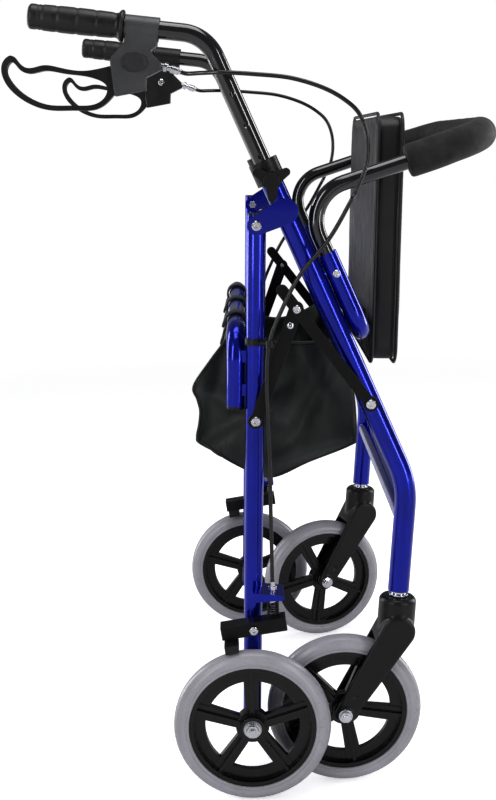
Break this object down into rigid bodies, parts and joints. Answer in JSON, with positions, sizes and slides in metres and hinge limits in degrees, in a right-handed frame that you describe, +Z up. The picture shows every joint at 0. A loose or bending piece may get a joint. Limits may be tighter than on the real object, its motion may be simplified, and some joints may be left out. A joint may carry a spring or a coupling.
{
  "type": "rollator walker",
  "caption": "Folding wheeled walking frame with height-adjustable handles, loop brakes, swivel casters, flip-up padded seat, foam backrest and a storage bag, standing folded.",
  "frame": {"origin": "on the floor, at the middle of the bounding box of the folded walker with its handles raised", "axes": "+Z up, +X the way the walker is pushed, +Y to the user's left"},
  "size_m": [0.5718, 0.633, 0.9424],
  "materials": {
    "blue_frame": "gloss paint",
    "black_tube": "gloss",
    "black_plastic": "satin",
    "housing_plastic": "satin",
    "tyre_grey": "satin",
    "steel": "polished",
    "bearing_steel": "satin",
    "spring_steel": "black oxide",
    "link_paint": "satin",
    "grip_rubber": "matte",
    "foam": "matte foam",
    "seat_vinyl": "satin vinyl",
    "board_plastic": "satin",
    "bag_fabric": "woven nylon",
    "cable_sheath": "gloss"
  },
  "bodies": {
    "front_frame": {"front_frame": "blue_frame", "height_clamps": "black_plastic", "front_link_bolts": "steel", "socket_screws": "steel", "right_brake_cable": "cable_sheath", "left_brake_cable": "cable_sheath"},
    "rear_frame": {"rear_frame": "blue_frame", "pivot_bolts": "steel", "rear_frame_plugs": "black_plastic", "rear_axles": "steel", "rear_link_bolts": "steel", "brake_bolts": "steel", "cable_stops": "steel", "cable_clips": "black_plastic", "bag": "bag_fabric", "bag_straps": "bag_fabric", "right_brake_spring": "spring_steel", "left_brake_spring": "spring_steel"},
    "front_links": {"right_front_link": "link_paint", "left_front_link": "link_paint", "link_apex_bolts": "steel"},
    "rear_links": {"right_rear_link": "link_paint", "left_rear_link": "link_paint"},
    "seat": {"seat_board": "board_plastic", "seat_pad": "seat_vinyl", "seat_hinges": "link_paint"},
    "backrest": {"backrest_tube": "black_tube", "backrest_foam": "foam"},
    "right_handle": {"right_handle_tube": "black_tube", "right_grip": "grip_rubber", "right_brake_housing": "housing_plastic", "right_lever_hardware": "steel"},
    "right_lever": {"right_brake_lever": "black_plastic"},
    "right_knob": {"right_height_knob": "black_plastic"},
    "right_brake": {"right_brake_arm": "link_paint", "right_brake_shoe": "grip_rubber"},
    "right_rear_wheel": {"right_rear_tyre": "tyre_grey", "right_rear_rim": "black_plastic", "right_rear_bearings": "bearing_steel"},
    "right_caster": {"right_caster_fork": "black_plastic", "right_caster_hardware": "steel"},
    "right_caster_wheel": {"right_caster_tyre": "tyre_grey", "right_caster_rim": "black_plastic", "right_caster_bearings": "bearing_steel"},
    "left_handle": {"left_handle_tube": "black_tube", "left_grip": "grip_rubber", "left_brake_housing": "housing_plastic", "left_lever_hardware": "steel"},
    "left_lever": {"left_brake_lever": "black_plastic"},
    "left_knob": {"left_height_knob": "black_plastic"},
    "left_brake": {"left_brake_arm": "link_paint", "left_brake_shoe": "grip_rubber"},
    "left_rear_wheel": {"left_rear_tyre": "tyre_grey", "left_rear_rim": "black_plastic", "left_rear_bearings": "bearing_steel"},
    "left_caster": {"left_caster_fork": "black_plastic", "left_caster_hardware": "steel"},
    "left_caster_wheel": {"left_caster_tyre": "tyre_grey", "left_caster_rim": "black_plastic", "left_caster_bearings": "bearing_steel"}
  },
  "joints": [
    {"name": "fold", "type": "hinge", "parent": "front_frame", "child": "rear_frame", "pos_m": [-0.0055, 0, 0.6907], "axis": [0, 1, 0], "range_deg": [0, 24], "stiffness_Nm_per_rad": 30, "springref_deg": -34.38},
    {"name": "front_link_turn", "type": "hinge", "parent": "front_frame", "child": "front_links", "pos_m": [0.1226, 0, 0.4812], "axis": [0, -1, 0], "range_deg": [0, 15.5]},
    {"name": "rear_link_turn", "type": "hinge", "parent": "rear_frame", "child": "rear_links", "pos_m": [-0.0119, 0, 0.4634], "axis": [0, 1, 0], "range_deg": [0, 8.6]},
    {"name": "seat_flip", "type": "hinge", "parent": "front_frame", "child": "seat", "pos_m": [0.1159, 0, 0.561], "axis": [0, -1, 0], "range_deg": [0, 83]},
    {"name": "backrest_lift", "type": "slide", "parent": "front_frame", "child": "backrest", "axis": [-0.3926, 0, 0.9197], "range_m": [0, 0.05]},
    {"name": "right_height", "type": "slide", "parent": "front_frame", "child": "right_handle", "axis": [0.3926, 0, -0.9197], "range_m": [0, 0.114], "deforming": ["right_brake_cable"]},
    {"name": "right_knob_turn", "type": "hinge", "parent": "front_frame", "child": "right_knob", "pos_m": [0.01239, -0.248, 0.741], "axis": [0, 1, 0], "range_deg": [-180, 180]},
    {"name": "right_brake_squeeze", "type": "hinge", "parent": "right_handle", "child": "right_lever", "pos_m": [-0.1371, -0.248, 0.8745], "axis": [0, 1, 0], "range_deg": [0, 12], "stiffness_Nm_per_rad": 1, "springref_deg": -17.19},
    {"name": "right_brake_press", "type": "hinge", "parent": "rear_frame", "child": "right_brake", "pos_m": [-0.0211, -0.248, 0.2115], "axis": [0, -1, 0], "range_deg": [0, 3], "deforming": ["right_brake_spring"]},
    {"name": "right_rear_wheel_spin", "type": "hinge", "parent": "rear_frame", "child": "right_rear_wheel", "pos_m": [-0.0254, -0.29, 0.095], "axis": [0, 1, 0], "continuous": true},
    {"name": "right_caster_swivel", "type": "hinge", "parent": "front_frame", "child": "right_caster", "pos_m": [0.1564, -0.248, 0.2457], "axis": [-0.0785, 0, -0.9969], "range_deg": [-4, 300]},
    {"name": "right_caster_spin", "type": "hinge", "parent": "right_caster", "child": "right_caster_wheel", "pos_m": [0.0884, -0.248, 0.095], "axis": [0, 1, 0], "continuous": true},
    {"name": "left_height", "type": "slide", "parent": "front_frame", "child": "left_handle", "axis": [0.3926, 0, -0.9197], "range_m": [0, 0.114], "deforming": ["left_brake_cable"]},
    {"name": "left_knob_turn", "type": "hinge", "parent": "front_frame", "child": "left_knob", "pos_m": [0.01239, 0.248, 0.741], "axis": [0, 1, 0], "range_deg": [-180, 180]},
    {"name": "left_brake_squeeze", "type": "hinge", "parent": "left_handle", "child": "left_lever", "pos_m": [-0.1371, 0.248, 0.8745], "axis": [0, 1, 0], "range_deg": [0, 12], "stiffness_Nm_per_rad": 1, "springref_deg": -17.19},
    {"name": "left_brake_press", "type": "hinge", "parent": "rear_frame", "child": "left_brake", "pos_m": [-0.0211, 0.248, 0.2115], "axis": [0, -1, 0], "range_deg": [0, 3], "deforming": ["left_brake_spring"]},
    {"name": "left_rear_wheel_spin", "type": "hinge", "parent": "rear_frame", "child": "left_rear_wheel", "pos_m": [-0.0254, 0.29, 0.095], "axis": [0, 1, 0], "continuous": true},
    {"name": "left_caster_swivel", "type": "hinge", "parent": "front_frame", "child": "left_caster", "pos_m": [0.1564, 0.248, 0.2457], "axis": [0.0785, 0, 0.9969], "range_deg": [-19.5, 284]},
    {"name": "left_caster_spin", "type": "hinge", "parent": "left_caster", "child": "left_caster_wheel", "pos_m": [0.09045, 0.23295, 0.09484], "axis": [-0.2681, 0.9632, 0.0211], "continuous": true}
  ],
  "couplings": [
    {"joint": "front_link_turn", "follows": "fold", "ratio": 0.64},
    {"joint": "rear_link_turn", "follows": "fold", "ratio": 0.355},
    {"joint": "right_brake_press", "follows": "right_brake_squeeze", "ratio": 0.25},
    {"joint": "left_brake_press", "follows": "left_brake_squeeze", "ratio": 0.25}
  ]
}
